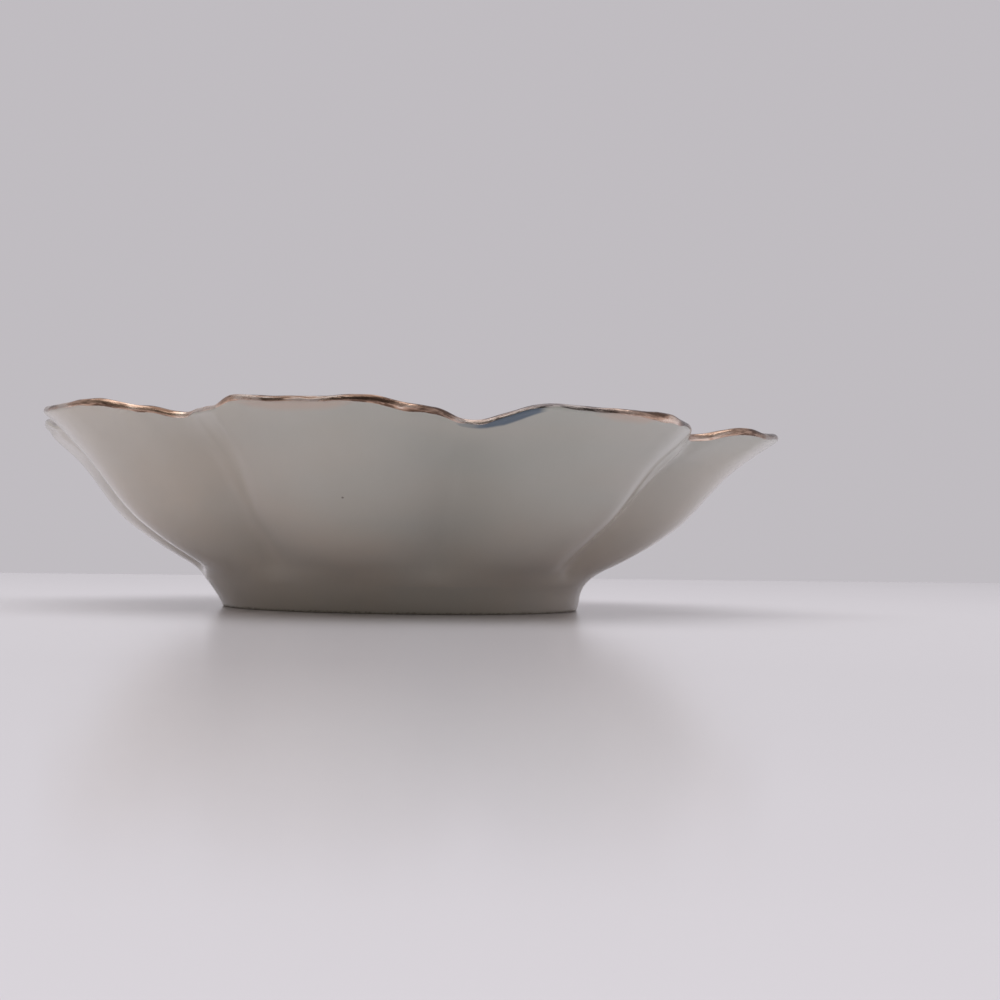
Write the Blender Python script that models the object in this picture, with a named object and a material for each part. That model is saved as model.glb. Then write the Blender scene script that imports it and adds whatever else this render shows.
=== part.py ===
"""A round porcelain dish with eight lobes, a low foot and a gilded, scalloped lip.

It has three pieces. The bowl is one pressed wall and floor. The foot ring is turned, and is
stuck under the bowl with slip. The gilding is a thin band of gold round the lip. The origin is
the middle of the plane that the foot stands on, +Z is up, and a lobe is centred on +X.
"""

import math

import bmesh
import bpy
from mathutils import Vector

MM = 0.001

# Overall sizes
OVERALL_DIAMETER = 201.0 * MM       # over the gilding, across the middles of two lobes
OVERALL_HEIGHT = 48.5 * MM          # from the table to the highest points of the gilding

# Clearance between pieces that sit on each other
SEAT_GAP = 0.3 * MM

# Foot ring
FOOT_DIAMETER = 95.0 * MM           # over the standing edge
FOOT_HEIGHT = 6.5 * MM
FOOT_FLAT_WIDTH = 2.6 * MM          # the bare flat that stands on the table
FOOT_EDGE_ROUND = 0.8 * MM
FOOT_INNER_LEAN = 1.0 * MM          # how far the inner face leans in towards its top
FOOT_SIDE_DEGREES = 68.0            # slope of the outer face just above the standing edge

# Bowl
NECK_REACH = 2.9 * MM               # how far the foot meets the bowl outside its standing edge
WALL_THICKNESS = 3.2 * MM           # from the neck to the belly
LIP_THICKNESS = 2.0 * MM
FLOOR_THICKNESS = 3.4 * MM
WELL_INSET = 7.5 * MM               # from the neck in to the flat in the middle of the bowl

# Outer face of the wall at the middle of a lobe, from the neck to the lip: share of the reach,
# share of the rise, and slope in degrees
WALL_SHARES = (
    (0.00, 0.000, 53.0),
    (0.14, 0.124, 25.0),
    (0.46, 0.368, 37.0),
    (0.77, 0.776, 43.0),
    (1.00, 1.000, 35.0),
)

# Lobes, and the creases between them
LOBE_COUNT = 8
CREASE_DEPTH = 13.6 * MM            # how far a crease draws the lip in
CREASE_ROUND_SHARE = 0.23           # rounding of a crease, as a share of its depth
CREASE_START_SHARE = 0.07           # share of the wall, from the neck, where creases fade in
CREASE_GROWTH_POWER = 2.0           # how early up the wall a crease reaches its depth

# Lip of each lobe: a valley at the crease, a shoulder, a peak, and a lower middle
LIP_SHOULDER_RISE = 1.5 * MM        # heights above the valleys
LIP_PEAK_RISE = 3.4 * MM
LIP_MIDDLE_RISE = 2.6 * MM
LIP_SHOULDER_SHARE = 0.72           # places, as shares of half a lobe
LIP_PEAK_SHARE = 0.45
SCALLOP_START_SHARE = 0.62          # share of the wall, from the neck, that has no scallops
SCALLOP_SHARE = 0.05                # share of the lip's plan that follows its heights

# Gilding
GILT_THICKNESS = 0.3 * MM
GILT_DROP = 1.7 * MM                # how far the band runs down each face of the lip

# Facets
STATIONS_PER_LOBE = 16
WALL_STEPS = 12
WELL_EDGE_STEP = 4                  # the step of the wall whose inner face meets the well
WELL_STEPS = 4
LIP_STEPS = 4
FOOT_TURN_STEPS = 64
FOOT_EDGE_STEPS = 3
FOOT_SIDE_STEPS = 3
SMOOTH_DEGREES = 40.0

# Linear colour, roughness and metallic value of each material
PORCELAIN_LOOK = ((0.56, 0.55, 0.50, 1.0), 0.12, 0.0)
FOOT_LOOK = ((0.50, 0.48, 0.44, 1.0), 0.30, 0.0)
GOLD_LOOK = ((0.72, 0.45, 0.25, 1.0), 0.22, 1.0)

# Sizes that follow from those above
STATIONS = LOBE_COUNT * STATIONS_PER_LOBE
LIP_ROUND = LIP_THICKNESS / 2.0
LIP_SLOPE = math.radians(WALL_SHARES[-1][2])
GILT_REACH = SEAT_GAP + GILT_THICKNESS
FOOT_RADIUS = FOOT_DIAMETER / 2.0
NECK_RADIUS = FOOT_RADIUS + NECK_REACH
NECK_HEIGHT = FOOT_HEIGHT + SEAT_GAP
WELL_HEIGHT = NECK_HEIGHT + FLOOR_THICKNESS
LIP_RADIUS = OVERALL_DIAMETER / 2.0 - GILT_REACH - LIP_ROUND * (1.0 - math.sin(LIP_SLOPE))
LIP_HEIGHT = OVERALL_HEIGHT - GILT_REACH - LIP_ROUND * (1.0 + math.cos(LIP_SLOPE))
WALL_MARKS = [
    (NECK_RADIUS + reach * (LIP_RADIUS - NECK_RADIUS),
     NECK_HEIGHT + rise * (LIP_HEIGHT - NECK_HEIGHT),
     math.radians(slope))
    for reach, rise, slope in WALL_SHARES
]
LIP_MARKS = (
    (1.0, 0.0),
    (LIP_SHOULDER_SHARE, LIP_SHOULDER_RISE),
    (LIP_PEAK_SHARE, LIP_PEAK_RISE),
    (0.0, LIP_MIDDLE_RISE),
)


def clear_scene():
    for scene_object in list(bpy.data.objects):
        bpy.data.objects.remove(scene_object, do_unlink=True)


def eased(share):
    """A smooth step from 0 to 1, level at both ends."""
    held = min(max(share, 0.0), 1.0)
    return (1.0 - math.cos(math.pi * held)) / 2.0


def heading(turn):
    return Vector((math.cos(turn), math.sin(turn)))


def flowing(start, end, share):
    """A point on the smooth curve between two marks of radius, height and slope."""
    chord = math.dist(start[:2], end[:2])
    square = share * share
    cube = square * share
    return (
        Vector(start[:2]) * (2.0 * cube - 3.0 * square + 1.0)
        + heading(start[2]) * chord * (cube - 2.0 * square + share)
        + Vector(end[:2]) * (3.0 * square - 2.0 * cube)
        + heading(end[2]) * chord * (cube - square)
    )


def arc(middle, radius, start, end, steps):
    """Points round a circle from one angle to another, with both ends."""
    turns = [start + (end - start) * step / steps for step in range(steps + 1)]
    return [middle + heading(turn) * radius for turn in turns]


def lobe_swell(angle):
    """Plan of a lobe: 1 in its middle, and 0 in the narrow rounded valley of a crease."""
    wave = math.cos(angle * LOBE_COUNT / 2.0)
    softened = math.hypot(wave, CREASE_ROUND_SHARE) - CREASE_ROUND_SHARE
    return softened / (math.hypot(1.0, CREASE_ROUND_SHARE) - CREASE_ROUND_SHARE)


def lip_rise(angle):
    """Height of the lip above its valleys."""
    turn = angle * LOBE_COUNT / (2.0 * math.pi)
    place = 2.0 * abs(turn - round(turn))
    for (outer, low), (inner, high) in zip(LIP_MARKS, LIP_MARKS[1:]):
        if place >= inner:
            return low + (high - low) * eased((outer - place) / (outer - inner))
    return LIP_MIDDLE_RISE


def wall_point(angle, along):
    """A point of the wall's outer face, from 0 at the neck to 1 at the lip."""
    spans = len(WALL_MARKS) - 1
    span = min(int(along * spans), spans - 1)
    radius, height = flowing(WALL_MARKS[span], WALL_MARKS[span + 1], along * spans - span)
    creased = along * along * (1.0 + CREASE_START_SHARE) / (along + CREASE_START_SHARE)
    scalloped = eased((along - SCALLOP_START_SHARE) / (1.0 - SCALLOP_START_SHARE))
    rise = lip_rise(angle)
    follow = SCALLOP_SHARE * scalloped
    swell = (1.0 - follow) * lobe_swell(angle) + follow * rise / LIP_MIDDLE_RISE
    deepened = 1.0 - (1.0 - creased) ** CREASE_GROWTH_POWER
    radius -= CREASE_DEPTH * (1.0 - swell) * deepened
    height -= (LIP_PEAK_RISE - rise) * scalloped
    return Vector((radius, height))


def wall_frame(angle, along):
    """A point of the outer face, with the directions up the wall and into it."""
    nudge = 1.0 / WALL_STEPS ** 2
    below = wall_point(angle, max(along - nudge, 0.0))
    above = wall_point(angle, min(along + nudge, 1.0))
    up = (above - below).normalized()
    return wall_point(angle, along), up, Vector((-up.y, up.x))


def lip_path(angle, radius):
    """Points round the lip at a radius from its middle, from the outer face to the inner."""
    outer, up, inward = wall_frame(angle, 1.0)
    lean = math.atan2(up.y, up.x)
    quarter = math.pi / 2.0
    return arc(outer + inward * LIP_ROUND, radius, lean - quarter, lean + quarter, LIP_STEPS)


def bowl_section(angle):
    """The bowl cut at one angle: up the wall, over the lip, and down to the edge of the well."""
    outer_face = []
    inner_face = []
    for step in range(WALL_STEPS):
        along = step / WALL_STEPS
        point, _, inward = wall_frame(angle, along)
        thickness = WALL_THICKNESS + (LIP_THICKNESS - WALL_THICKNESS) * eased(along)
        outer_face.append(point)
        inner_face.append(point + inward * thickness)
    wall_foot = inner_face[WELL_EDGE_STEP]
    climb = inner_face[WELL_EDGE_STEP + 1] - wall_foot
    well_mark = (NECK_RADIUS - WELL_INSET, WELL_HEIGHT, 0.0)
    wall_mark = (wall_foot.x, wall_foot.y, math.atan2(climb.y, climb.x))
    well_side = [flowing(well_mark, wall_mark, step / WELL_STEPS) for step in range(WELL_STEPS)]
    inner_side = well_side + inner_face[WELL_EDGE_STEP:]
    return outer_face + lip_path(angle, LIP_ROUND) + inner_side[::-1]


def gilt_section(angle):
    """The gilding cut at one angle: a thin hook over the lip, open below."""
    _, up, _ = wall_frame(angle, 1.0)
    drop = up * GILT_DROP
    sides = []
    for reach in (SEAT_GAP, GILT_REACH):
        round_lip = lip_path(angle, LIP_ROUND + reach)
        sides.append([round_lip[0] - drop] + round_lip + [round_lip[-1] - drop])
    near, far = sides
    return far + near[::-1]


def foot_section():
    """The foot ring cut at one angle, anticlockwise from its standing flat."""
    flat_outer = FOOT_RADIUS - FOOT_EDGE_ROUND
    flat_inner = flat_outer - FOOT_FLAT_WIDTH
    inner_top = flat_inner - FOOT_EDGE_ROUND - FOOT_INNER_LEAN
    quarter = math.pi / 2.0
    side_slope = math.radians(FOOT_SIDE_DEGREES)
    outer_edge = arc(Vector((flat_outer, FOOT_EDGE_ROUND)), FOOT_EDGE_ROUND, -quarter,
                     side_slope - quarter, FOOT_EDGE_STEPS)
    inner_edge = arc(Vector((flat_inner, FOOT_EDGE_ROUND)), FOOT_EDGE_ROUND, -2.0 * quarter,
                     -quarter, FOOT_EDGE_STEPS)
    low_mark = (outer_edge[-1].x, outer_edge[-1].y, side_slope)
    top_mark = (NECK_RADIUS, FOOT_HEIGHT, WALL_MARKS[0][2])
    side = [flowing(low_mark, top_mark, step / FOOT_SIDE_STEPS)
            for step in range(1, FOOT_SIDE_STEPS + 1)]
    return outer_edge + side + [Vector((inner_top, FOOT_HEIGHT))] + inner_edge


def finished(name, shape, look):
    """One named object of a closed shape, with its own material."""
    colour, roughness, metallic = look
    bmesh.ops.recalc_face_normals(shape, faces=shape.faces)
    mesh = bpy.data.meshes.new(name)
    shape.to_mesh(mesh)
    shape.free()
    mesh.shade_smooth()
    mesh.set_sharp_from_angle(angle=math.radians(SMOOTH_DEGREES))
    material = bpy.data.materials.new(name)
    material.use_nodes = True
    surface = material.node_tree.nodes["Principled BSDF"]
    surface.inputs["Base Color"].default_value = colour
    surface.inputs["Roughness"].default_value = roughness
    surface.inputs["Metallic"].default_value = metallic
    mesh.materials.append(material)
    piece = bpy.data.objects.new(name, mesh)
    bpy.context.scene.collection.objects.link(piece)
    return piece


def lofted(section, closed):
    """Sections at every station round the dish, joined by faces. An open one gets flat ends."""
    shape = bmesh.new()
    rings = []
    for station in range(STATIONS):
        angle = 2.0 * math.pi * station / STATIONS
        across = heading(angle)
        rings.append([shape.verts.new((across.x * point.x, across.y * point.x, point.y))
                      for point in section(angle)])
    count = len(rings[0])
    for ring, following in zip(rings, rings[1:] + rings[:1]):
        for place in range(count if closed else count - 1):
            after = (place + 1) % count
            shape.faces.new((ring[place], following[place], following[after], ring[after]))
    if not closed:
        for end in (0, -1):
            shape.faces.new([ring[end] for ring in rings])
    return shape


def turned(points):
    """A closed section spun once round the dish's axis."""
    shape = bmesh.new()
    corners = [shape.verts.new((point.x, 0.0, point.y)) for point in points]
    edges = [shape.edges.new(pair) for pair in zip(corners, corners[1:] + corners[:1])]
    bmesh.ops.spin(shape, geom=corners + edges, cent=(0.0, 0.0, 0.0), axis=(0.0, 0.0, 1.0),
                   angle=2.0 * math.pi, steps=FOOT_TURN_STEPS, use_merge=True)
    return shape


def make_bowl():
    return finished("bowl", lofted(bowl_section, closed=False), PORCELAIN_LOOK)


def make_foot_ring():
    return finished("foot_ring", turned(foot_section()), FOOT_LOOK)


def make_gilt_rim():
    return finished("gilt_rim", lofted(gilt_section, closed=True), GOLD_LOOK)


clear_scene()
make_bowl()
make_foot_ring()
make_gilt_rim()
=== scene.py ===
"""Looks of the lobed porcelain dish: fine meshes, pearl glaze, worn gilding and a plain studio."""

import math

import bmesh
import bpy
import numpy as np
from mathutils import Matrix, Vector


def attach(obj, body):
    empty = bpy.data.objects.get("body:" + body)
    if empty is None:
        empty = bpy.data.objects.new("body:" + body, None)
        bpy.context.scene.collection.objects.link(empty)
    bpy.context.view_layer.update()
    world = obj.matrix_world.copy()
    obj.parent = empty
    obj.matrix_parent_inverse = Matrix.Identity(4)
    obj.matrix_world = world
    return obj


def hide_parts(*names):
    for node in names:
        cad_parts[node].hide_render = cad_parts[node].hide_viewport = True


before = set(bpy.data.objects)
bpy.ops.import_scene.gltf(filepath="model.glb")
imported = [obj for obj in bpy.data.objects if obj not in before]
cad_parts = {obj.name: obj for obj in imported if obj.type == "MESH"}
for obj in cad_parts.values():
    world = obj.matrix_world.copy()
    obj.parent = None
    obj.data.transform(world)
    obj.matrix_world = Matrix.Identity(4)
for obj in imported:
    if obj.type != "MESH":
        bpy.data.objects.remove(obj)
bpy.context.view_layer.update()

MM = 0.001

# Shape of the dish, in millimetres. The wall is the CAD wall, made finer, with sharper creases
OVERALL_DIAMETER = 201.0
OVERALL_HEIGHT = 48.5
FOOT_RADIUS = 47.5
FOOT_SIDE_SLOPE = 68.0
NECK_RADIUS = 50.4
NECK_HEIGHT = 6.8
WALL_THICKNESS = 3.2
LIP_THICKNESS = 2.0
WELL_RADIUS = 42.9
WELL_HEIGHT = 10.2
FLOOR_SAG = 0.35                    # how far the underside of the floor sags in its middle

# Outer face of the wall: share of the reach, share of the rise, and slope in degrees
WALL_SHARES = (
    (0.00, 0.000, 53.0),
    (0.14, 0.124, 25.0),
    (0.46, 0.368, 37.0),
    (0.77, 0.776, 43.0),
    (1.00, 1.000, 35.0),
)

# Lobes, and the creases between them
LOBE_COUNT = 8
CREASE_DEPTH = 13.6
CREASE_ROUND_SHARE = 0.17
CREASE_START_SHARE = 0.05
CREASE_GROWTH_POWER = 5.0
CREASE_LATE_SHARE = 0.17            # share of the depth that comes in late, by a power of the reach
CREASE_LATE_POWER = 4
LIP_PEAK_RISE = 3.4
LIP_MIDDLE_RISE = 2.6
SCALLOP_START_SHARE = 0.62
SCALLOP_SHARE = 0.05

# The lip of each lobe, from the one on +X round: share of half a lobe, and height over the valleys
PLAIN_LIP = (
    (-1.0, 0.0), (-0.72, 1.5), (-0.45, 3.4), (0.0, 2.6), (0.45, 3.4), (0.72, 1.5), (1.0, 0.0),
)
LOBE_LIPS = (
    ((-1.0, 0.3), (-0.54, 2.9), (-0.3, 2.35), (0.0, 2.8), (0.42, 3.2), (0.72, 1.5), (1.0, 0.0)),
    PLAIN_LIP, PLAIN_LIP, PLAIN_LIP, PLAIN_LIP,
    ((-1.0, 0.0), (-0.72, 1.5), (-0.45, 2.9), (0.0, 2.45), (0.2, 2.6), (0.45, 3.45),
     (0.75, 1.65), (1.0, 0.35)),
    ((-1.0, 0.35), (-0.85, 1.0), (-0.66, 1.05), (-0.45, 3.15), (-0.2, 2.4), (0.1, 2.5),
     (0.33, 3.15), (0.6, 1.95), (0.74, 1.55), (0.95, -0.45), (1.0, -0.5)),
    ((-1.0, -0.5), (-0.52, 3.25), (-0.33, 2.8), (0.0, 2.55), (0.2, 2.85), (0.45, 1.8),
     (0.75, 1.5), (1.0, 0.3)),
)

# The rim leans a little, as fired: higher at the front left
LEAN_RISE = 1.15
LEAN_HEADING = math.radians(-130.0)

# The standing edge sits a little to one side of the bowl, as fired
FOOT_SHIFT = 1.0
FOOT_SHIFT_HEADING = math.radians(12.0)

# The neck is a little fuller on one side
FULL_NECK_HEADING = math.radians(-171.0)
FULL_NECK_WIDTH = math.radians(20.0)
FULL_NECK_HEIGHT = 10.5
FULL_NECK_SPREAD = 4.0
FULL_NECK_SWELL = 0.6
FULL_NECK_FADE = 6.0                # how far out from the well's edge the fullness comes in

# Where the wall stands proud of its even shape, or below it, as pressed: heading and width in
# degrees, share of the reach and spread there, and millimetres
PRESSED = (
    (-143.0, 12.0, 1.00, 0.18, -2.4),
    (-149.0, 10.0, 0.20, 0.15, -0.8),
    (-176.0, 13.0, 0.48, 0.26, 1.3),
    (-173.0, 13.0, 1.00, 0.06, -1.8),
    (-119.5, 5.0, 0.60, 0.26, 1.1),
    (-106.0, 5.0, 0.55, 0.26, 0.7),
    (-30.0, 6.0, 0.70, 0.25, 1.3),
    (-24.8, 2.2, 0.75, 0.18, 2.2),
    (-22.5, 5.0, 1.00, 0.07, -1.2),
)
PRESSED_START_SHARE = 0.08

# Waves round the dish: size in millimetres, count and phase
LIP_RIPPLE = ((0.06, 31, 2.2), (0.05, 43, 4.0), (0.04, 67, 1.1), (0.03, 101, 0.5))
SIDE_RIPPLE = ((0.30, 3, 0.9), (0.20, 5, 2.6), (0.10, 11, 0.2), (0.06, 19, 3.1))

# Foot ring, in millimetres. Its top is tucked into the floor of the bowl, and its inner face leans
# out to the standing edge from a fillet under the floor
FOOT_EDGE_ROUND = 0.8
FOOT_TOP_HEIGHT = 7.3
FOOT_TOP_INSET = 0.7
FOOT_TOP_INNER_RADIUS = 40.1
FOOT_FILLET_RADIUS = 40.5
FOOT_FILLET_HEIGHT = 4.9
FOOT_FILLET_ROUND = 2.0
FOOT_INNER_RADIUS = 42.5
FOOT_INNER_LEAN = 0.8
FOOT_INNER_EDGE_RADIUS = 44.1

# Gilding, in millimetres
FILM_THICKNESS = 0.06
FILM_SINK = 0.03
GILT_DROP_INSIDE = 1.5
GILT_DROP_LEAST = 0.01
GILT_START_MOST = 1.3               # the furthest round the lip, in radians, that it begins
GILT_OUTSIDE_WAVES = ((0.06, 9, 1.4), (0.09, 26, 0.1), (0.07, 61, 2.0), (0.05, 97, 0.4))
GILT_INSIDE_WAVES = ((0.3, 5, 2.2), (0.2, 12, 0.6), (0.16, 33, 1.9), (0.1, 71, 0.3))

# Places round the lip, in degrees: how bright the gold is, how worn, how grey, and how far it runs
# down the outer face. Below zero it stops short, on the round of the lip. The brightness is partly
# the film's own tone and partly painted: high marks are painted glints, low marks painted dark
# reflection
GILT_MARKS = (
    (-178, 1.0, 0.9, 0.8, -1.3), (-164, 1.0, 0.9, 0.8, -1.3), (-155, 0.4, 0.3, 0.3, -0.7),
    (-140, 0.40, 0.5, 0.40, -0.75), (-131, 0.45, 0.5, 0.3, -0.8), (-127, 0.8, 0.0, 0.0, -0.3),
    (-124, 0.0, 0.0, 0.0, -0.2), (-120, 0.75, 0.1, 0.1, -0.6), (-116, -0.1, 0.0, 0.0, -0.3),
    (-113, 0.75, 0.0, 0.0, -0.4), (-110, 0.95, 0.8, 0.1, -0.95), (-104, 0.95, 0.7, 0.0, -0.9),
    (-102, 0.65, 0.2, 0.0, -0.2), (-99, 0.6, 0.4, 0.0, -0.5), (-96, 0.3, 0.5, 0.1, -0.8),
    (-88, 0.3, 0.5, 0.1, -0.75), (-84, 0.35, 0.3, 0.1, -0.5), (-80, 0.25, 0.0, 0.0, 0.0),
    (-78, 0.95, 0.0, 0.0, 0.0), (-75, 0.05, 0.0, 0.0, -0.2), (-72, 0.45, 0.2, 0.2, -0.2),
    (-68, 0.8, 0.4, 0.5, -0.8), (-62, 0.4, 0.3, 0.6, -1.0), (-57, 0.25, 0.3, 0.9, -1.0),
    (-52, 0.35, 0.3, 0.75, -0.9), (-48, 0.45, 0.2, 0.3, -0.7), (-44, 0.5, 0.2, 0.1, -0.3),
    (-41, 0.5, 0.1, 0.0, 0.4), (-39, 0.95, 0.1, 0.0, 0.3), (-35, 0.5, 0.4, 0.8, -0.7),
    (-24, 0.4, 0.4, 0.6, -0.5), (-20, 0.65, 0.0, 0.0, 0.1), (-12, 0.4, 0.1, 0.1, -0.2),
    (-7, 0.5, 0.5, 0.6, -0.5), (2, 0.4, 0.4, 0.7, -0.6), (60, 0.55, 0.1, 0.1, -0.4),
    (110, 0.4, 0.3, 0.2, -0.5), (155, 0.6, 0.2, 0.1, -0.4),
)
GILT_REACH_COLUMN = 4

# Places round the lip, in degrees: how far the stains on the glaze under it reach
BLUE_MARKS = (
    (-71.0, 0.0), (-69.5, 0.4), (-67.0, 0.45), (-65.0, 0.7), (-63.0, 1.0), (-60.5, 0.85),
    (-59.0, 0.5), (-57.3, 0.0),
)
ROSE_MARKS = (
    (-102.0, 0.0), (-97.0, 0.8), (-92.0, 1.0), (-86.0, 0.8), (-82.0, 0.0), (-53.0, 0.0),
    (-49.0, 0.8), (-44.0, 0.8), (-42.0, 0.4), (-39.0, 0.0),
)

# How pink the glaze is before its noise: a level, waves round the dish, and a fall up the wall
BOWL_BLUSH = 0.6
FOOT_BLUSH = 0.7
BLUSH_WAVES = ((0.20, 2, 0.0), (0.12, 3, 2.36))
# The fall up the wall is painted light and shade: the glaze turns pinker, warmer and lighter
# towards the foot, for the warm shaded light there
LOW_WALL_PAINTED_TINT = 0.5
LOW_WALL_PAINTED_TINT_MIDDLE = 0.55

# Facets
STATIONS_PER_LOBE = 68
STATION_GATHER = 0.45               # how much closer together the stations are at the creases
WALL_STEPS = 60
WALL_NUDGE = 0.004                  # share of the wall over which its direction is read
WELL_EDGE_SHARE = 0.33              # share of the wall where its inner face meets the well
WELL_SIDE_STEPS = 9
WELL_STEPS = 8
UNDERSIDE_SHARES = (0.12, 0.3, 0.5, 0.7, 0.85, 0.93)
LIP_STEPS = 12
GILT_SIDE_SHARES = (0.33, 0.66, 1.0)  # places down each side of the gilding
FOOT_EDGE_STEPS = 6
FOOT_SIDE_STEPS = 14
FOOT_FILLET_STEPS = 9
FOOT_INNER_SHARES = (0.25, 0.5, 0.75, 1.0)
SHARP_DEGREES = 50.0

# Sizes that follow from those above
LIP_ROUND = LIP_THICKNESS / 2.0
LIP_SLOPE = math.radians(WALL_SHARES[-1][2])
LIP_RADIUS = OVERALL_DIAMETER / 2.0 - FILM_THICKNESS - LIP_ROUND * (1.0 - math.sin(LIP_SLOPE))
LIP_HEIGHT = OVERALL_HEIGHT - FILM_THICKNESS - LIP_ROUND * (1.0 + math.cos(LIP_SLOPE))
WALL_MARKS = [
    (NECK_RADIUS + reach * (LIP_RADIUS - NECK_RADIUS),
     NECK_HEIGHT + rise * (LIP_HEIGHT - NECK_HEIGHT),
     math.radians(slope))
    for reach, rise, slope in WALL_SHARES
]


def eased(share):
    """A smooth step from 0 to 1, level at both ends."""
    return (1.0 - np.cos(np.pi * np.clip(share, 0.0, 1.0))) / 2.0


def flowing(start, end, share):
    """Radius and height on the smooth curve between two marks of radius, height and slope."""
    chord = np.hypot(end[0] - start[0], end[1] - start[1])
    square = share * share
    cube = square * share
    weights = (2 * cube - 3 * square + 1, cube - 2 * square + share, 3 * square - 2 * cube,
               cube - square)
    radius = (start[0] * weights[0] + np.cos(start[2]) * chord * weights[1]
              + end[0] * weights[2] + np.cos(end[2]) * chord * weights[3])
    height = (start[1] * weights[0] + np.sin(start[2]) * chord * weights[1]
              + end[1] * weights[2] + np.sin(end[2]) * chord * weights[3])
    return radius, height


def station_angles():
    """Angles round the dish, closer together at the creases."""
    turn = np.arange(STATIONS_PER_LOBE) / STATIONS_PER_LOBE
    turn = turn - STATION_GATHER * np.sin(2 * np.pi * turn) / (2 * np.pi)
    lobes = np.arange(LOBE_COUNT)[:, None] + turn[None, :] + 0.5
    return (lobes * 2 * np.pi / LOBE_COUNT).ravel()


def turned_from(angle, heading):
    """How far angles are from a heading, the shorter way round."""
    return (angle - heading + np.pi) % (2.0 * np.pi) - np.pi


def lobe_swell(angle):
    """Plan of a lobe: 1 in its middle, and 0 in the narrow rounded valley of a crease."""
    wave = np.cos(angle * LOBE_COUNT / 2.0)
    softened = np.hypot(wave, CREASE_ROUND_SHARE) - CREASE_ROUND_SHARE
    return softened / (np.hypot(1.0, CREASE_ROUND_SHARE) - CREASE_ROUND_SHARE)


def lip_rise(angle):
    """Height of the lip above its valleys."""
    turn = angle * LOBE_COUNT / (2.0 * np.pi)
    lobe = np.round(turn)
    place = 2.0 * (turn - lobe)
    rise = np.zeros_like(angle)
    for index, marks in enumerate(LOBE_LIPS):
        for (first, low), (last, high) in zip(marks, marks[1:]):
            here = (lobe % LOBE_COUNT == index) & (place >= first) & (place <= last)
            level = low + (high - low) * eased((place - first) / (last - first))
            rise = np.where(here, level, rise)
    return rise


def waves(angle, rows):
    """A sum of waves round the dish: rows of size, count and phase."""
    return sum(size * np.sin(count * angle + phase) for size, count, phase in rows)


def pressed(angle, reach):
    """How far the wall stands out from its even shape."""
    away = 0.0
    for heading, width, place, spread, amount in PRESSED:
        turn = turned_from(angle, math.radians(heading)) / math.radians(width)
        away = away + amount * np.exp(-turn ** 2 - ((reach - place) / spread) ** 2)
    return away * eased(reach / PRESSED_START_SHARE)


def wall_point(angle, along):
    """Radius and height on the wall's outer face, from 0 at the neck to 1 at the lip."""
    spans = len(WALL_MARKS) - 1
    span = min(int(along * spans), spans - 1)
    radius, height = flowing(WALL_MARKS[span], WALL_MARKS[span + 1], along * spans - span)
    reach = (radius - NECK_RADIUS) / (LIP_RADIUS - NECK_RADIUS)
    creased = reach * reach * (1.0 + CREASE_START_SHARE) / (reach + CREASE_START_SHARE)
    scalloped = eased((reach - SCALLOP_START_SHARE) / (1.0 - SCALLOP_START_SHARE))
    rise = lip_rise(angle)
    follow = SCALLOP_SHARE * scalloped
    swell = (1.0 - follow) * lobe_swell(angle) + follow * rise / LIP_MIDDLE_RISE
    deepened = 1.0 - (1.0 - creased) ** CREASE_GROWTH_POWER
    deepened = deepened + CREASE_LATE_SHARE * (reach ** CREASE_LATE_POWER - deepened)
    radius = radius - CREASE_DEPTH * (1.0 - swell) * deepened
    radius = radius + creased * waves(angle, SIDE_RIPPLE) + pressed(angle, reach)
    height = height - (LIP_PEAK_RISE - rise) * scalloped
    height = height + scalloped ** 2 * waves(angle, LIP_RIPPLE)
    lifted = (height - NECK_HEIGHT) / (OVERALL_HEIGHT - NECK_HEIGHT)
    height = height + lifted * LEAN_RISE * np.cos(angle - LEAN_HEADING)
    return np.stack([radius, height], axis=-1)


def wall_frame(angle, along):
    """Points of the outer face with the directions up the wall and into it."""
    below = wall_point(angle, max(along - WALL_NUDGE, 0.0))
    above = wall_point(angle, min(along + WALL_NUDGE, 1.0))
    up = above - below
    up = up / np.linalg.norm(up, axis=-1, keepdims=True)
    return wall_point(angle, along), up, np.stack([-up[:, 1], up[:, 0]], axis=-1)


def lip_path(angle, radius, start=0.0):
    """Points over the lip from the outer face to the inner one, from a turn in radians on."""
    outer, up, inward = wall_frame(angle, 1.0)
    middle = outer + inward * LIP_ROUND
    points = []
    for step in range(LIP_STEPS + 1):
        turn = (start + (math.pi - start) * step / LIP_STEPS + np.zeros_like(angle))[:, None]
        points.append(middle + radius * (up * np.sin(turn) - inward * np.cos(turn)))
    return points


def level_ring(angle, radius, height):
    """The same radius and height at every angle."""
    return np.stack([np.full_like(angle, radius), np.full_like(angle, height)], axis=-1)


def placed(angle, points):
    """Rings of radius and height as positions in metres, with the neck fuller on one side."""
    stacked = np.stack(points, axis=1)
    turn = turned_from(angle, FULL_NECK_HEADING)
    facing = np.exp(-(turn / FULL_NECK_WIDTH) ** 2)[:, None]
    level = np.exp(-((stacked[..., 1] - FULL_NECK_HEIGHT) / FULL_NECK_SPREAD) ** 2)
    outward = np.clip((stacked[..., 0] - WELL_RADIUS) / FULL_NECK_FADE, 0.0, 1.0)
    radius = stacked[..., 0] + FULL_NECK_SWELL * facing * level * outward
    across = np.cos(angle)[:, None] * radius
    along = np.sin(angle)[:, None] * radius
    return np.stack([across, along, stacked[..., 1]], axis=-1) * MM


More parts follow.
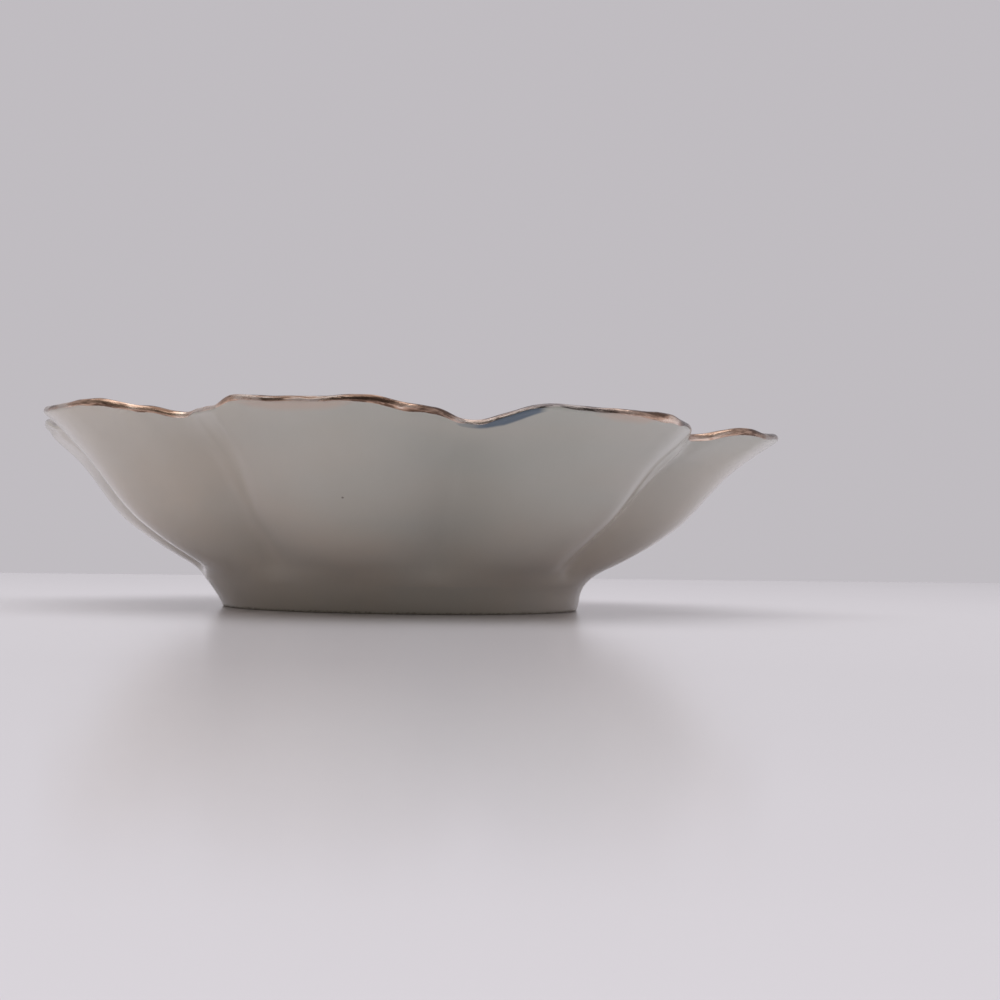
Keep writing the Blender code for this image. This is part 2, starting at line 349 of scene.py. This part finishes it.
def ring_mesh(name, grid, closed, facts):
    """Rings of points joined into a mesh. An open one gets a fan at each end. Facts are values by
    point, for the material."""
    stations, count = grid.shape[:2]
    index = np.arange(stations * count).reshape(stations, count)
    across = np.roll(index, -1, axis=0)
    if closed:
        corners = (index, across, np.roll(across, -1, axis=1), np.roll(index, -1, axis=1))
    else:
        corners = (index[:, :-1], across[:, :-1], across[:, 1:], index[:, 1:])
    faces = np.stack(corners, axis=-1).reshape(-1, 4).tolist()
    points = grid.reshape(-1, 3).tolist()
    facts = {key: np.broadcast_to(value, (stations, count)) for key, value in facts.items()}
    values = {key: value.reshape(-1).tolist() for key, value in facts.items()}
    if not closed:
        for column in (0, -1):
            middle = len(points)
            points.append(grid[:, column].mean(axis=0).tolist())
            for key, value in facts.items():
                values[key].append(float(value[:, column].mean()))
            for first, second in zip(index[:, column].tolist(), across[:, column].tolist()):
                faces.append((first, second, middle) if column else (second, first, middle))
    mesh = bpy.data.meshes.new(name)
    mesh.from_pydata(points, [], faces)
    mesh.validate()
    work = bmesh.new()
    work.from_mesh(mesh)
    bmesh.ops.recalc_face_normals(work, faces=work.faces)
    work.to_mesh(mesh)
    work.free()
    mesh.shade_smooth()
    mesh.set_sharp_from_angle(angle=math.radians(SHARP_DEGREES))
    for key, value in values.items():
        layer = mesh.attributes.new(key, "FLOAT", "POINT")
        layer.data.foreach_set("value", value)
    piece = bpy.data.objects.new(name, mesh)
    bpy.context.scene.collection.objects.link(piece)
    return piece


def marked(angle, rows, column):
    """A column of a table of marks round the lip, read at each angle."""
    marks = np.array(rows)
    return np.interp(np.degrees(angle), marks[:, 0], marks[:, column], period=360.0)


def make_bowl():
    """The bowl, from under its floor, up the wall, over the lip, and down to its well."""
    angle = station_angles()
    outer_face, inner_face = [], []
    outer_along, inner_along = [], []
    for step in range(WALL_STEPS):
        along = step / WALL_STEPS
        point, _, inward = wall_frame(angle, along)
        thickness = WALL_THICKNESS + (LIP_THICKNESS - WALL_THICKNESS) * eased(along)
        outer_face.append(point)
        outer_along.append(along)
        if along >= WELL_EDGE_SHARE:
            inner_face.append(point + inward * thickness)
            inner_along.append(along)
    wall_foot = inner_face[0]
    climb = inner_face[1] - wall_foot
    well_mark = (WELL_RADIUS, WELL_HEIGHT, 0.0)
    wall_mark = (wall_foot[:, 0], wall_foot[:, 1], np.arctan2(climb[:, 1], climb[:, 0]))
    well = [level_ring(angle, WELL_RADIUS * ((step + 1) / (WELL_STEPS + 1)), WELL_HEIGHT)
            for step in range(WELL_STEPS)]
    well_side = []
    for step in range(WELL_SIDE_STEPS):
        radius, height = flowing(well_mark, wall_mark, step / WELL_SIDE_STEPS)
        well_side.append(np.stack(np.broadcast_arrays(radius, height), axis=-1))
    inside = well + well_side + inner_face
    inside_along = [0.0] * (len(well) + len(well_side)) + inner_along
    under = [level_ring(angle, NECK_RADIUS * share, NECK_HEIGHT - FLOOR_SAG * (1.0 - share) ** 2)
             for share in UNDERSIDE_SHARES]
    lip = lip_path(angle, LIP_ROUND)
    points = under + outer_face + lip + inside[::-1]
    along = [0.0] * len(under) + outer_along + [1.0] * len(lip) + inside_along[::-1]
    along = np.array(along)[None, :]
    blush = BOWL_BLUSH + waves(angle, BLUSH_WAVES)[:, None]
    facts = {
        "along": along,
        # Painted light and shade: pinker, warmer and lighter towards the foot
        "blush": blush - LOW_WALL_PAINTED_TINT * (along - LOW_WALL_PAINTED_TINT_MIDDLE),
        "blue": marked(angle, BLUE_MARKS, 1)[:, None],
        "rose": marked(angle, ROSE_MARKS, 1)[:, None],
    }
    return ring_mesh("bowl_glaze", placed(angle, points), False, facts)


def arc(middle_radius, middle_height, radius, turns):
    """Radius and height round a circle, at turns from outward."""
    return [(middle_radius + radius * math.cos(turn), middle_height + radius * math.sin(turn))
            for turn in turns]


def make_foot():
    """The foot ring, from its standing edge, up its side, over its top, and down its inner face."""
    angle = station_angles()
    quarter = math.pi / 2.0
    side_slope = math.radians(FOOT_SIDE_SLOPE)
    edge_turns = [side_slope * step / FOOT_EDGE_STEPS for step in range(FOOT_EDGE_STEPS + 1)]
    section = arc(FOOT_RADIUS - FOOT_EDGE_ROUND, FOOT_EDGE_ROUND, FOOT_EDGE_ROUND,
                  [turn - quarter for turn in edge_turns])
    side_mark = (*section[-1], side_slope)
    neck_mark = (NECK_RADIUS, NECK_HEIGHT, WALL_MARKS[0][2])
    for step in range(FOOT_SIDE_STEPS):
        section.append(flowing(side_mark, neck_mark, (step + 1) / FOOT_SIDE_STEPS))
    section.append((NECK_RADIUS - FOOT_TOP_INSET, FOOT_TOP_HEIGHT))
    section.append((FOOT_TOP_INNER_RADIUS, FOOT_TOP_HEIGHT))
    for step in range(1, FOOT_FILLET_STEPS):
        turn = quarter * step / FOOT_FILLET_STEPS
        section.append((FOOT_FILLET_RADIUS + FOOT_FILLET_ROUND * math.sin(turn),
                        FOOT_FILLET_HEIGHT + FOOT_FILLET_ROUND * math.cos(turn)))
    for share in FOOT_INNER_SHARES:
        section.append((FOOT_INNER_RADIUS + FOOT_INNER_LEAN * share,
                        FOOT_FILLET_HEIGHT + (FOOT_EDGE_ROUND - FOOT_FILLET_HEIGHT) * share))
    section += arc(FOOT_INNER_EDGE_RADIUS, FOOT_EDGE_ROUND, FOOT_EDGE_ROUND,
                   [2.0 * quarter + quarter * (step + 1) / FOOT_EDGE_STEPS
                    for step in range(FOOT_EDGE_STEPS)])
    grid = placed(angle, [level_ring(angle, radius, height) for radius, height in section])
    shift = FOOT_SHIFT * MM * (1.0 - eased(grid[..., 2] / (NECK_HEIGHT * MM)))
    grid[..., 0] += shift * math.cos(FOOT_SHIFT_HEADING)
    grid[..., 1] += shift * math.sin(FOOT_SHIFT_HEADING)
    blush = FOOT_BLUSH + waves(angle, BLUSH_WAVES)[:, None]
    return ring_mesh("foot_glaze", grid, True, {"blush": blush})


def make_gilding():
    """The film of gold over the lip, whose outer edge wanders."""
    angle = station_angles()
    reach = marked(angle, GILT_MARKS, GILT_REACH_COLUMN) + waves(angle, GILT_OUTSIDE_WAVES)
    outside = np.maximum(reach, GILT_DROP_LEAST)
    start = np.clip(-reach / LIP_ROUND, 0.0, GILT_START_MOST)
    inside = GILT_DROP_INSIDE + waves(angle, GILT_INSIDE_WAVES)
    _, up, _ = wall_frame(angle, 1.0)

    def with_sides(path):
        before = [path[0] - up * (outside * share)[:, None] for share in GILT_SIDE_SHARES[::-1]]
        after = [path[-1] - up * (inside * share)[:, None] for share in GILT_SIDE_SHARES]
        return before + path + after

    outer_loop = with_sides(lip_path(angle, LIP_ROUND + FILM_THICKNESS, start))
    inner_loop = with_sides(lip_path(angle, LIP_ROUND - FILM_SINK, start))
    points = outer_loop + inner_loop[::-1]
    facts = {key: marked(angle, GILT_MARKS, column)[:, None]
             for column, key in enumerate(("tone_and_glint", "worn", "ash"), 1)}
    across = np.linspace(0.0, 1.0, len(outer_loop))
    facts["across"] = np.concatenate([across, across[::-1]])[None, :]
    over = [start / math.pi] * len(GILT_SIDE_SHARES)
    over += [(start + (math.pi - start) * step / LIP_STEPS) / math.pi
             for step in range(LIP_STEPS + 1)]
    over += [np.ones_like(angle)] * len(GILT_SIDE_SHARES)
    facts["over"] = np.stack(over + over[::-1], axis=1)
    return ring_mesh("lip_gilding", placed(angle, points), True, facts)


def shade(red, green, blue):
    """A linear colour."""
    return (red, green, blue, 1.0)


class Nodes:
    """A node tree, built by calls that give back sockets."""

    def __init__(self, tree):
        self.tree = tree

    def add(self, kind, inputs=None, **settings):
        made = self.tree.nodes.new(kind)
        for key, value in settings.items():
            setattr(made, key, value)
        for key, value in (inputs or {}).items():
            self.put(made.inputs[key], value)
        return made

    def put(self, socket, value):
        if isinstance(value, bpy.types.NodeSocket):
            self.tree.links.new(value, socket)
        else:
            socket.default_value = value

    def maths(self, operation, first, second):
        return self.add("ShaderNodeMath", {0: first, 1: second}, operation=operation).outputs[0]

    def plus(self, first, second):
        return self.maths("ADD", first, second)

    def times(self, first, second):
        return self.maths("MULTIPLY", first, second)

    def swing(self, value, size):
        """A value from 0 to 1 as one round zero, of a whole size."""
        return self.times(self.maths("SUBTRACT", value, 0.5), size)

    def span(self, value, low, high, to_low=0.0, to_high=1.0):
        """A smooth step from one value at low to another at high."""
        ends = {"From Min": low, "From Max": high, "To Min": to_low, "To Max": to_high}
        made = self.add("ShaderNodeMapRange", {"Value": value, **ends},
                        interpolation_type="SMOOTHSTEP")
        return made.outputs["Result"]

    def mix(self, share, first, second):
        made = self.add("ShaderNodeMix", {0: share, 6: first, 7: second}, data_type="RGBA")
        return made.outputs[2]


class Shader(Nodes):
    """A material's nodes, round its own surface shader."""

    def __init__(self, name):
        self.material = bpy.data.materials.new(name)
        self.material.use_nodes = True
        super().__init__(self.material.node_tree)
        self.surface = self.tree.nodes["Principled BSDF"]
        self.place = self.add("ShaderNodeTexCoord").outputs["Object"]

    def fact(self, name):
        return self.add("ShaderNodeAttribute", attribute_name=name).outputs["Fac"]

    def noise(self, scale, detail=2.0, rough=0.5, stretch=(1.0, 1.0, 1.0), shift=(0.0, 0.0, 0.0)):
        place = self.add("ShaderNodeMapping",
                         {"Vector": self.place, "Scale": stretch, "Location": shift})
        return self.noise_at(place.outputs[0], scale, detail, rough)

    def noise_at(self, place, scale, detail, rough):
        made = self.add("ShaderNodeTexNoise", {"Vector": place, "Scale": scale, "Detail": detail,
                                               "Roughness": rough})
        return made.outputs["Fac"]

    def bump(self, height, strength, distance):
        made = self.add("ShaderNodeBump",
                        {"Height": height, "Strength": strength, "Distance": distance})
        self.put(self.surface.inputs["Normal"], made.outputs[0])


# Glaze: noises are scale per metre, detail, roughness, stretch and shift
GLAZE_GREEN = shade(0.548, 0.553, 0.500)
GLAZE_PINK = shade(0.690, 0.616, 0.524)
GLAZE_WARM = shade(0.620, 0.566, 0.490)
GLAZE_PALE = shade(0.600, 0.598, 0.555)
PATCH_NOISE = (19.0, 2.0, 0.5, (0.6, 0.6, 1.5), (0.02, 0.0, 0.01))
PATCH_SPAN = (0.72, 1.28)
CLOUD_NOISE = (46.0, 3.0, 0.55, (1.0, 1.0, 0.6), (0.3, 0.1, 0.7))
CLOUD_SHARE = 0.40
BAND_NOISE = (30.0, 2.0, 0.5, (0.35, 0.35, 2.6), (0.1, 0.5, 0.2))
BAND_SHARE = 0.40
SOFT_SPAN = (0.3, 0.7)
FINE_NOISE = (420.0, 3.0, 0.6)
FINE_BUMP_SHARE = 0.05
GLAZE_ROUGHNESS = (0.13, 0.20)
COAT_WEIGHT = 0.25
COAT_ROUGHNESS = 0.10
DIMPLE_NOISE = (90.0, 2.0)
GLAZE_BUMP = (0.06, 0.0004)

# Specks: small ones strewn by chance, and four larger ones with their places and sizes in metres
STREWN_SCALE = 75.0
STREWN_SPAN = (0.012, 0.028, 1.0, 0.0)
STREWN_RARITY = 0.72
STREWN_SHARE = 0.75
STREWN_COLOUR = shade(0.16, 0.12, 0.09)
KILN_SPECKS = (
    ((0.0038, -0.0788, 0.0272), 0.00036), ((-0.0690, -0.0300, 0.0200), 0.00028),
    ((-0.0470, 0.0610, 0.0262), 0.0004), ((0.0700, 0.0330, 0.0235), 0.0003),
)
KILN_SHARE = 0.7
KILN_CORE = 0.5                     # share of a speck's size that is dark all through
KILN_COLOUR = shade(0.13, 0.10, 0.08)

# The bare standing edge: heights in metres
BARE_EDGE_SPAN = (0.0004, 0.0006, 1.0, 0.0)
BARE_EDGE_NOISE = (160.0,)
BARE_EDGE_SWING = 0.0008
BARE_ROUGHNESS = 0.7
GRIT_NOISE = (1500.0, 4.0, 0.7)
GRIT_SPAN = (0.35, 0.7)
BISCUIT_PALE = shade(0.62, 0.58, 0.50)
BISCUIT_DARK = shade(0.36, 0.31, 0.25)

# Stains under the lip: how far a mark of 1 pulls one down the wall, and where it comes in. Both are
# in shares of the wall
STAIN_WAVER = 0.006
STAIN_SHARE = 0.9
ROSE_REACH = 0.055
ROSE_SPAN = (1.004, 1.050)
ROSE_COLOUR = shade(0.63, 0.525, 0.445)
BLUE_REACH = 0.038
BLUE_SPAN = (1.008, 1.026)
BLUE_COLOUR = shade(0.100, 0.150, 0.215)

# Gold: tones from dark to light, partly the film's own and partly painted dark reflection and
# painted glints, the pale of worn film, and the grey of tarnish
GOLD_DARK = shade(0.15, 0.090, 0.062)
GOLD_MIDDLE = shade(0.57, 0.385, 0.285)
GOLD_PAINTED_GLINT = shade(0.90, 0.73, 0.61)
WORN_COLOUR = shade(0.50, 0.41, 0.36)
ASH_DARK = shade(0.11, 0.10, 0.105)
ASH_PALE = shade(0.60, 0.57, 0.55)
STREAK_LAY = 0.022                  # metres of streak pattern across the band
STREAK_NOISE = (130.0, 3.0, 0.6)
MOTTLE_NOISE = (140.0, 4.0, 0.65)
GOLD_NOISE_SPAN = (0.34, 0.66)
STREAK_CHANGE = (0.1, 0.7, 0.75, 0.2)  # less change of tone by streaks where it is worn
MOTTLE_CHANGE = 0.25
# Tone taken off over the top and inner side of the lip: painted shade that dims the lamp's
# highlight there
LIP_TOP_PAINTED_SHADE = (0.36, 0.52, 0.0, 0.34)
DARK_SPAN = (0.0, 0.55)
# Span of tone that turns to the painted glint colour
PAINTED_GLINT_SPAN = (0.5, 1.0)
WORN_SWING = 0.5
WORN_SPAN = (0.35, 0.75)
WORN_METAL = 0.25
GOLD_ROUGHNESS = (0.17, 0.32)
GOLD_FINE_NOISE = (420.0, 3.0)
GOLD_BUMP = (0.30, 0.0003)


def strewn_specks(look, colour):
    """Small specks where a few cells of a cellular pattern have their middles."""
    spots = look.add("ShaderNodeTexVoronoi", {"Vector": look.place, "Scale": STREWN_SCALE})
    near = look.span(spots.outputs["Distance"], *STREWN_SPAN)
    rare = look.add("ShaderNodeSeparateColor", {0: spots.outputs["Color"]}).outputs[0]
    speck = look.times(near, look.maths("GREATER_THAN", rare, STREWN_RARITY))
    return look.mix(look.times(speck, STREWN_SHARE), colour, STREWN_COLOUR)


def kiln_specks(look, colour):
    for place, size in KILN_SPECKS:
        gap = look.add("ShaderNodeVectorMath", {0: look.place, 1: place}, operation="DISTANCE")
        speck = look.span(gap.outputs["Value"], size * KILN_CORE, size, KILN_SHARE, 0.0)
        colour = look.mix(speck, colour, KILN_COLOUR)
    return colour


def porcelain(name, bare_foot=False):
    """Glossy grey-white glaze with faint pink and green clouds of pearl lustre; on the bowl a
    painted tint makes it pinker, warmer and lighter towards the foot.
    """
    look = Shader(name)
    # The bowl's blush fact also holds painted light and shade: pinker and lighter towards the foot
    patches = look.span(look.plus(look.noise(*PATCH_NOISE), look.fact("blush")), *PATCH_SPAN)
    clouds = look.span(look.noise(*CLOUD_NOISE), *SOFT_SPAN)
    bands = look.span(look.noise(*BAND_NOISE), *SOFT_SPAN)
    colour = look.mix(patches, GLAZE_GREEN, GLAZE_PINK)
    colour = look.mix(look.times(clouds, CLOUD_SHARE), colour, GLAZE_PALE)
    colour = look.mix(look.times(bands, BAND_SHARE), colour, GLAZE_WARM)
    colour = kiln_specks(look, strewn_specks(look, colour))
    fine = look.noise(*FINE_NOISE)
    roughness = look.span(fine, *SOFT_SPAN, *GLAZE_ROUGHNESS)
    if bare_foot:
        height = look.add("ShaderNodeSeparateXYZ", {0: look.place}).outputs["Z"]
        edge = look.plus(height, look.swing(look.noise(*BARE_EDGE_NOISE), BARE_EDGE_SWING))
        bare = look.span(edge, *BARE_EDGE_SPAN)
        grit = look.span(look.noise(*GRIT_NOISE), *GRIT_SPAN)
        colour = look.mix(bare, colour, look.mix(grit, BISCUIT_PALE, BISCUIT_DARK))
        roughness = look.maths("MAXIMUM", roughness, look.times(bare, BARE_ROUGHNESS))
    else:
        wavering = look.plus(look.fact("along"), look.times(clouds, STAIN_WAVER))
        for fact, reach, span, stain in (("rose", ROSE_REACH, ROSE_SPAN, ROSE_COLOUR),
                                         ("blue", BLUE_REACH, BLUE_SPAN, BLUE_COLOUR)):
            pulled = look.plus(wavering, look.times(look.fact(fact), reach))
            share = look.times(look.span(pulled, *span), STAIN_SHARE)
            colour = look.mix(share, colour, stain)
    look.put(look.surface.inputs["Base Color"], colour)
    look.put(look.surface.inputs["Roughness"], roughness)
    look.surface.inputs["Coat Weight"].default_value = COAT_WEIGHT
    look.surface.inputs["Coat Roughness"].default_value = COAT_ROUGHNESS
    height = look.plus(look.noise(*DIMPLE_NOISE), look.times(fine, FINE_BUMP_SHARE))
    look.bump(height, *GLAZE_BUMP)
    return look.material


def gold():
    """Burnished copper-gold film, dark in places, pale where it is worn, with streaks along it; its
    tone also paints glints and dark reflections, and painted shade dims it over the lip's top.
    """
    look = Shader("worn_rose_gold")
    split = look.add("ShaderNodeSeparateXYZ", {0: look.place})
    lay = look.add("ShaderNodeCombineXYZ", {0: split.outputs["X"], 1: split.outputs["Y"],
                                            2: look.times(look.fact("across"), STREAK_LAY)})
    streaks = look.span(look.noise_at(lay.outputs[0], *STREAK_NOISE), *GOLD_NOISE_SPAN)
    mottle = look.span(look.noise(*MOTTLE_NOISE), *GOLD_NOISE_SPAN)
    worn = look.fact("worn")
    tone_and_glint = look.plus(look.fact("tone_and_glint"), look.swing(streaks, look.span(worn, *STREAK_CHANGE)))
    tone_and_glint = look.plus(tone_and_glint, look.swing(mottle, MOTTLE_CHANGE))
    # Painted shade over the top and inner side of the lip, dimming the lamp's highlight
    tone_and_glint = look.maths("SUBTRACT", tone_and_glint, look.span(look.fact("over"), *LIP_TOP_PAINTED_SHADE))
    colour = look.mix(look.span(tone_and_glint, *DARK_SPAN), GOLD_DARK, GOLD_MIDDLE)
    # Painted glints: the highest tones take the light glint colour
    colour = look.mix(look.span(tone_and_glint, *PAINTED_GLINT_SPAN), colour, GOLD_PAINTED_GLINT)
    thin = look.span(look.plus(worn, look.swing(streaks, WORN_SWING)), *WORN_SPAN)
    colour = look.mix(thin, colour, WORN_COLOUR)
    ashen = look.mix(look.span(tone_and_glint, 0.0, 1.0), ASH_DARK, ASH_PALE)
    colour = look.mix(look.fact("ash"), colour, ashen)
    look.put(look.surface.inputs["Base Color"], colour)
    look.put(look.surface.inputs["Metallic"], look.span(thin, 0.0, 1.0, 1.0, WORN_METAL))
    look.put(look.surface.inputs["Roughness"], look.span(mottle, 0.0, 1.0, *GOLD_ROUGHNESS))
    look.bump(look.plus(streaks, look.noise(*GOLD_FINE_NOISE)), *GOLD_BUMP)
    return look.material


def dress(piece, material, node):
    """Give a piece its material, and let it stand for a CAD node."""
    piece.data.materials.clear()
    piece.data.materials.append(material)
    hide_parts(node)
    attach(piece, "root")


dress(make_bowl(), porcelain("pearl_glaze"), "bowl")
dress(make_foot(), porcelain("foot_glaze_look", bare_foot=True), "foot_ring")
dress(make_gilding(), gold(), "gilt_rim")

# Camera
CAMERA_DISTANCE = 472.8 * MM
CAMERA_HEIGHT = 16.4 * MM
CAMERA_TURN = math.radians(11.98)
CAMERA_ASIDE = math.radians(3.31)
CAMERA_PITCH = math.radians(1.58)
CAMERA_ROLL = math.radians(0.92)
CAMERA_LENS = 63.0
CAMERA_CLIP_START = 0.01

# Table: its corners in metres, with a far edge that slants as in the photo, and its colours
TABLE_CORNERS = ((-3.0, -3.0, 0.0), (3.0, -3.0, 0.0), (3.0, 2.045, 0.0), (-3.0, -1.01, 0.0))
TABLE_NOISE = (6.0, 3.0, 0.6)
TABLE_DARK = shade(0.808, 0.780, 0.818)
TABLE_PALE = shade(0.844, 0.815, 0.855)
TABLE_ROUGHNESS = 0.15

# Light: a soft lamp overhead, and a room that is dim in front
LAMP_PLACE = (-0.05, -0.08, 1.1)
LAMP_SIZE = 1.7
LAMP_POWER = 12.2
BACKDROP = shade(0.527, 0.504, 0.532)
ROOM_LEFT = shade(0.215, 0.208, 0.196)
ROOM_RIGHT = shade(0.130, 0.127, 0.120)
ROOM_DEPTH_SPAN = (-0.9, 0.45)      # from the room in front to the backdrop behind
ROOM_SIDE_SPAN = (0.7, -0.7)        # from the right to the left
ROOM_SHARE_OF_FILL = 0.8            # of the room's light that falls on matt surfaces


def aim(eye, forward, roll):
    """A place and a facing direction as a matrix for a camera or lamp."""
    right = forward.cross(Vector((0.0, 0.0, 1.0))).normalized()
    up = right.cross(forward)
    turned_right = right * math.cos(roll) + up * math.sin(roll)
    turned_up = up * math.cos(roll) - right * math.sin(roll)
    facing = Matrix((turned_right, turned_up, -forward)).transposed().to_4x4()
    return Matrix.Translation(eye) @ facing


def make_camera():
    yaw = CAMERA_TURN - CAMERA_ASIDE
    eye = Vector((CAMERA_DISTANCE * math.sin(CAMERA_TURN),
                  -CAMERA_DISTANCE * math.cos(CAMERA_TURN),
                  CAMERA_HEIGHT))
    forward = Vector((-math.sin(yaw) * math.cos(CAMERA_PITCH),
                      math.cos(yaw) * math.cos(CAMERA_PITCH),
                      math.sin(CAMERA_PITCH)))
    lens = bpy.data.cameras.new("camera")
    lens.lens = CAMERA_LENS
    lens.clip_start = CAMERA_CLIP_START
    camera = bpy.data.objects.new("camera", lens)
    camera.matrix_world = aim(eye, forward, CAMERA_ROLL)
    bpy.context.scene.collection.objects.link(camera)
    bpy.context.scene.camera = camera


def make_floor():
    mesh = bpy.data.meshes.new("table")
    mesh.from_pydata(TABLE_CORNERS, [], [(0, 1, 2, 3)])
    look = Shader("table_white")
    cloud = look.noise(*TABLE_NOISE)
    look.put(look.surface.inputs["Base Color"], look.mix(cloud, TABLE_DARK, TABLE_PALE))
    look.surface.inputs["Roughness"].default_value = TABLE_ROUGHNESS
    mesh.materials.append(look.material)
    floor = bpy.data.objects.new("table", mesh)
    bpy.context.scene.collection.objects.link(floor)


def make_lamp():
    lamp = bpy.data.lights.new("top", "AREA")
    lamp.shape = "DISK"
    lamp.size = LAMP_SIZE
    lamp.energy = LAMP_POWER
    light = bpy.data.objects.new("top", lamp)
    place = Vector(LAMP_PLACE)
    light.matrix_world = aim(place, (-place).normalized(), 0.0)
    bpy.context.scene.collection.objects.link(light)


def make_world():
    """A dim room in front, brighter on the left, and a pale backdrop behind."""
    world = bpy.data.worlds.new("room")
    bpy.context.scene.world = world
    world.use_nodes = True
    world.node_tree.nodes.clear()
    room = Nodes(world.node_tree)
    place = room.add("ShaderNodeTexCoord").outputs["Generated"]
    split = room.add("ShaderNodeSeparateXYZ", {0: place})
    backward = room.span(split.outputs["Y"], *ROOM_DEPTH_SPAN)
    leftward = room.span(split.outputs["X"], *ROOM_SIDE_SPAN)
    around = room.mix(backward, room.mix(leftward, ROOM_RIGHT, ROOM_LEFT), BACKDROP)
    ray = room.add("ShaderNodeLightPath")
    colour = room.mix(ray.outputs["Is Camera Ray"], around, BACKDROP)
    strength = room.add("ShaderNodeMapRange", {"Value": ray.outputs["Is Diffuse Ray"],
                                               "To Min": 1.0, "To Max": ROOM_SHARE_OF_FILL})
    light = room.add("ShaderNodeBackground", {"Color": colour, "Strength": strength.outputs[0]})
    room.add("ShaderNodeOutputWorld", {"Surface": light.outputs[0]})


make_camera()
make_floor()
make_world()
make_lamp()
bpy.context.scene.view_settings.view_transform = "Standard"
